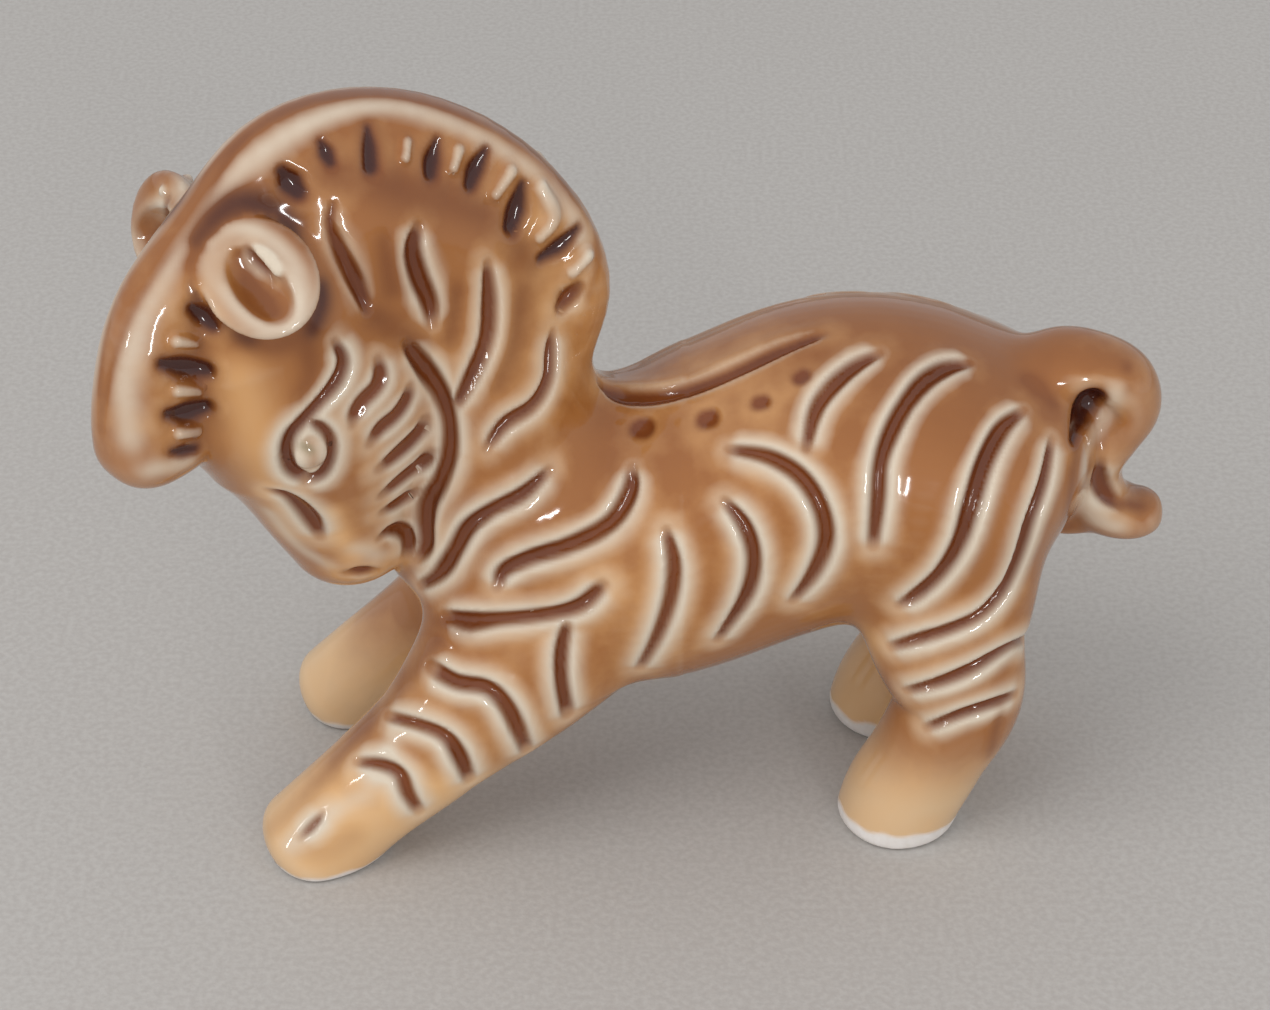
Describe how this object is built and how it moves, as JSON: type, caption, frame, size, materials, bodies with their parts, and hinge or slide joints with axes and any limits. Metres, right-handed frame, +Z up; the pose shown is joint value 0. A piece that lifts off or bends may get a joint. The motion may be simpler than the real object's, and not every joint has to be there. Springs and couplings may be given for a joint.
{
  "type": "toy zebra figure",
  "caption": "Glazed ceramic zebra foal ornament with a tall round mane crest, turned head, splayed forelegs and curled tail, standing on flat bare clay feet",
  "frame": {"origin": "on the ground under the middle of the figure's box", "axes": "+X towards the tail and -X where the foal faces, +Y to the animal's right and -Y to its left, where it turns its head, +Z up"},
  "size_m": [0.1058, 0.0406, 0.0838],
  "materials": {
    "honey_glaze": "gloss honey-brown glaze, darker in the grooves and cream where it breaks over the edges",
    "dark_glaze": "gloss dark brown glaze",
    "bare_clay": "matt unglazed off-white clay"
  },
  "bodies": {
    "root": {"torso": "honey_glaze", "neck": "honey_glaze", "head": "honey_glaze", "mane_crest": "honey_glaze", "left_ear": "honey_glaze", "right_ear": "honey_glaze", "left_eye": "dark_glaze", "right_eye": "dark_glaze", "left_fore_leg": "honey_glaze", "right_fore_leg": "honey_glaze", "left_hind_leg": "honey_glaze", "right_hind_leg": "honey_glaze", "tail": "honey_glaze", "left_fore_foot": "bare_clay", "right_fore_foot": "bare_clay", "left_hind_foot": "bare_clay", "right_hind_foot": "bare_clay"}
  },
  "joints": []
}
